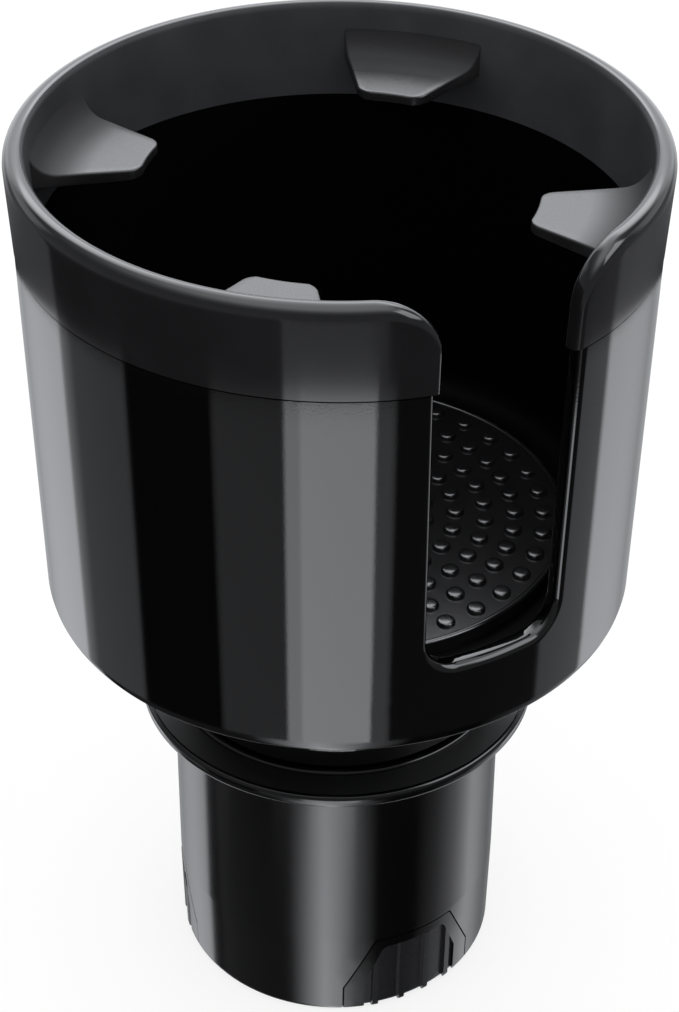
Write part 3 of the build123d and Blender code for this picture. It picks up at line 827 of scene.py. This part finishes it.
def make_mat():
    """Loose mat with a bead along its edge and rings of round-shouldered bumps."""
    skin = Skin()
    top = FLOOR_Z + MAT_T
    bead_z = top + MAT_BEAD_H - MAT_BEAD_R
    profile = [(0.0, FLOOR_Z), (MAT_R, FLOOR_Z)]
    profile += bend((MAT_R - MAT_BEAD_R, bead_z), MAT_BEAD_R, 0, 180, BEAD_STEPS)
    profile += [(r, top) for r in spread(MAT_R - 2 * MAT_BEAD_R, 0.0, MAT_TOP_STEPS)]
    skin.lathe(profile, LATHE_COUNT)
    edge = (BUMP_R - BUMP_EDGE_R, top + BUMP_H - BUMP_EDGE_R)
    bump = [(BUMP_R, top - BUMP_BITE)]
    bump += bend(edge, BUMP_EDGE_R, 0, BUMP_SHOULDER, BUMP_STEPS)
    crown_r, crown_z = bump[-1]
    bump += [(crown_r * CROWN_MID_R, crown_z + BUMP_CROWN * CROWN_MID_H), (0.0, crown_z + BUMP_CROWN)]
    skin.lathe(bump, BUMP_SIDES)
    for ring in range(1, BUMP_RINGS + 1):
        count = min(BUMP_FIRST_RING * ring, BUMP_MOST)
        for i in range(count):
            a = 2 * pi * i / count
            skin.lathe(bump, BUMP_SIDES, (BUMP_PITCH * ring * cos(a), BUMP_PITCH * ring * sin(a)))
    mat = skin.finish("mat", "mat_rubber", "cup", SOFT_CREASE)
    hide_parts("floor_mat")


def copy_faces(mesh, keep=lambda corners: True):
    """Points, faces and corner normals of the faces that are kept."""
    normals = [corner.vector.copy() for corner in mesh.corner_normals]
    points = [vertex.co.copy() for vertex in mesh.vertices]
    faces, corners = [], []
    for face in mesh.polygons:
        if keep([points[i] / MM for i in face.vertices]):
            faces.append(list(face.vertices))
            corners += [normals[i] for i in face.loop_indices]
    return points, faces, corners


def make_sleeve():
    """The CAD model's sleeve, with its collar and lip made finer."""
    skin = Skin()
    root = (SLEEVE_R + COLLAR_ROOT_R, COLLAR_Z - COLLAR_ROOT_R)
    edge_r = COLLAR_R - COLLAR_EDGE_R
    profile = bend(root, COLLAR_ROOT_R, 180, 90)
    profile += bend((edge_r, COLLAR_Z + COLLAR_EDGE_R), COLLAR_EDGE_R, -90, 0)
    profile += bend((edge_r, COLLAR_TOP - COLLAR_EDGE_R), COLLAR_EDGE_R, 0, COLLAR_EDGE_TURN)
    for r in spread(edge_r, LIP_R, COLLAR_TOP_STEPS)[1:]:
        profile.append((r, COLLAR_TOP + COLLAR_RISE * (edge_r - r) / (edge_r - LIP_R)))
    profile += bend((LIP_R - LIP_EDGE_R, LIP_TOP - LIP_EDGE_R), LIP_EDGE_R, 0, 90)
    profile += [(COLLAR_BORE_R, LIP_TOP)]
    skin.lathe(profile, LATHE_COUNT)
    sleeve = skin.finish("sleeve", "base_plastic", "base")
    collar_low = COLLAR_Z - COLLAR_ROOT_R - COPY_GAP
    bore_r = COLLAR_BORE_R - COPY_GAP

    def plain(corners):
        """True for a face that isn't part of the collar or the lip."""
        return not all(p.z > collar_low and hypot(p.x, p.y) > bore_r for p in corners)

    points, faces, corners = copy_faces(frame["nodes"]["base_sleeve"].data, plain)
    new_points, new_faces, new_corners = copy_faces(sleeve.data)
    shift = len(points)
    faces += [[i + shift for i in face] for face in new_faces]
    mesh = bpy.data.meshes.new("sleeve")
    mesh.from_pydata(points + new_points, [], faces)
    mesh.shade_smooth()
    mesh.normals_split_custom_set(corners + new_corners)
    mesh.materials.append(slots["base_plastic"])
    mesh.materials.append(slots["collar_plastic"])
    for face in mesh.polygons:
        x, y, z = face.center / MM
        if z > COLLAR_TOP - JOIN_GAP and LIP_R - JOIN_GAP < hypot(x, y) < edge_r:
            face.material_index = 1
    sleeve.data = mesh
    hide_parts("base_sleeve")


# Studio


def make_floor():
    """White floor that takes the object's shadow and shows in no reflection."""
    mesh = bpy.data.meshes.new("floor")
    build = bmesh.new()
    bmesh.ops.create_grid(build, x_segments=1, y_segments=1, size=FLOOR_HALF)
    build.to_mesh(mesh)
    build.free()
    floor = bpy.data.objects.new("floor", mesh)
    bpy.context.scene.collection.objects.link(floor)
    material, g = new_material("floor_white")
    camera_ray = g.add("ShaderNodeLightPath").outputs["Is Camera Ray"]
    lit = g.add("ShaderNodeBsdfDiffuse", {"Color": FLOOR_COLOUR})
    plain = g.add("ShaderNodeEmission", {"Color": WHITE, "Strength": FLOOR_WHITE})
    share = g.math("MULTIPLY", camera_ray, FLOOR_GLOW)
    shader = g.add("ShaderNodeMixShader", {0: share, 1: lit.outputs[0], 2: plain.outputs[0]})
    finish_material(g, shader)
    mesh.materials.append(material)
    floor.visible_glossy = False


def light_ramp(g, factor, half, stops):
    """Light strength by angle, from minus half to half, as a ramp scaled to its peak."""
    peak = max(strength for angle, strength in stops)
    scaled = [((angle + half) / (2 * half), strength / peak) for angle, strength in stops]
    return g.math("MULTIPLY", g.ramp(factor, scaled), peak)


def above(g, value, limit, half):
    """0 below the limit and 1 above it, changing over half of the width on each side."""
    past = g.math("SUBTRACT", value, limit)
    return g.math("ADD", g.math("DIVIDE", past, 2 * half), 0.5, clamp=True)


def soft_edge(g, value, middle, half):
    """1 where the value is within half of the middle, and soft to 0 outside."""
    off = g.math("ABSOLUTE", g.math("SUBTRACT", value, middle))
    inside = g.math("SUBTRACT", half, off)
    return g.math("ADD", g.math("DIVIDE", inside, LAMP_SOFTNESS), 0.5, clamp=True)


def sky_angles(g):
    """For a direction: its share of a turn, its elevation, and its cosine from the front."""
    direction = g.add("ShaderNodeTexCoord").outputs["Generated"]
    turned = g.add("ShaderNodeVectorRotate", {
        "Vector": direction, "Angle": radians(-CAMERA_ANGLE),
    }, rotation_type="Z_AXIS").outputs[0]
    axes = g.add("ShaderNodeSeparateXYZ", {0: turned}).outputs
    turn = g.math("ADD", g.math("DIVIDE", g.math("ARCTAN2", axes[1], axes[0]), 2 * pi), 0.5)
    height = g.math("DEGREES", g.math("ARCSINE", axes[2]))
    flat = g.level_part(turned)
    ahead = g.add("ShaderNodeVectorMath", {0: flat}, operation="NORMALIZE").outputs[0]
    front = g.add("ShaderNodeSeparateXYZ", {0: ahead}).outputs[0]
    return turn, height, front


def strip_light(g, turn, height, front):
    """Three rows of upright strips, for the sleeve, the cup and the band to reflect."""
    split = g.math("SUBTRACT", ROW_SPLIT, g.math("MULTIPLY", front, ROW_SPLIT_FRONT))
    band_split = g.math("SUBTRACT", BAND_SPLIT, g.math("MULTIPLY", front, BAND_SPLIT_FRONT))
    squared = g.math("MULTIPLY", g.math("MULTIPLY", front, front), BAND_SPLIT_ROUND)
    band_split = g.math("ADD", band_split, squared)
    lower = light_ramp(g, turn, 180, LOWER_STRIPS)
    upper = light_ramp(g, turn, 180, UPPER_STRIPS)
    band = light_ramp(g, turn, 180, BAND_STRIPS)
    strips = g.blend(above(g, height, split, ROW_SPLIT_HALF), lower, upper)
    return g.blend(above(g, height, band_split, BAND_SPLIT_HALF), strips, band)


def glow_light(g, height, front):
    """Overhead glow, one on the far side and another everywhere else."""
    level = g.math("ADD", g.math("DIVIDE", height, 180.0), 0.5)
    far = light_ramp(g, level, 90, FAR_GLOW)
    near = light_ramp(g, level, 90, NEAR_GLOW)
    behind = g.math("MULTIPLY", front, -1.0)
    farness = g.math("DIVIDE", g.math("SUBTRACT", behind, FAR_EDGE), FAR_SOFTNESS, clamp=True)
    return g.blend(farness, near, far)


def with_lamps(g, light, turn, height):
    """The light with the soft rectangular lamps added."""
    angle = g.math("MULTIPLY", g.math("SUBTRACT", turn, 0.5), 360.0)
    for lamp_angle, half_width, lamp_height, half_height, strength in LAMPS:
        across = soft_edge(g, angle, lamp_angle, half_width)
        upright = soft_edge(g, height, lamp_height, half_height)
        lamp = g.math("MULTIPLY", g.math("MULTIPLY", across, upright), strength)
        light = g.math("ADD", light, lamp)
    return light


def make_world():
    """Even white light, with strips, glow and lamps that only glossy surfaces reflect."""
    world = bpy.data.worlds.new("studio")
    bpy.context.scene.world = world
    world.use_nodes = True
    world.cycles.sampling_method = "NONE"
    g = Graph(world.node_tree)
    turn, height, front = sky_angles(g)
    strips = strip_light(g, turn, height, front)
    glow = glow_light(g, height, front)
    studio = g.blend(above(g, height, STRIP_FADE, STRIP_FADE_HALF), strips, glow)
    gloss = with_lamps(g, studio, turn, height)
    glossy_ray = g.add("ShaderNodeLightPath").outputs["Is Glossy Ray"]
    strength = g.blend(glossy_ray, ROOM_STRENGTH, gloss)
    tint = g.add("ShaderNodeMix", {0: glossy_ray, 6: WHITE, 7: LAMP_TINT}, data_type="RGBA").outputs[2]
    light = g.add("ShaderNodeBackground", {"Color": tint, "Strength": strength})
    g.add("ShaderNodeOutputWorld", {"Surface": light.outputs[0]})


def make_camera():
    """Camera at the photograph's place, with its picture's centre shifted to match."""
    data = bpy.data.cameras.new("camera")
    data.sensor_width = SENSOR_MM
    data.lens = FOCAL_PX * SENSOR_MM / IMAGE_H
    data.shift_x = (IMAGE_W / 2 - CENTRE_X_PX) / IMAGE_H
    data.shift_y = (CENTRE_Y_PX - IMAGE_H / 2) / IMAGE_H
    camera = bpy.data.objects.new("camera", data)
    bpy.context.scene.collection.objects.link(camera)
    around = radians(CAMERA_ANGLE)
    place = Vector((CAMERA_REACH * cos(around), CAMERA_REACH * sin(around), CAMERA_HEIGHT))
    heading = Matrix.Rotation(around + pi / 2, 4, "Z")
    tilt = Matrix.Rotation(radians(90 - CAMERA_PITCH), 4, "X")
    roll = Matrix.Rotation(radians(CAMERA_ROLL), 4, "Z")
    camera.matrix_world = Matrix.Translation(place) @ heading @ tilt @ roll
    bpy.context.scene.camera = camera


dress_nodes()
make_cup()
make_band()
for tab_name, tab_angle in TAB_ANGLES.items():
    make_tab(tab_name, tab_angle)
make_mat()
make_sleeve()
make_floor()
make_world()
make_camera()
bpy.context.scene.view_settings.view_transform = "Standard"
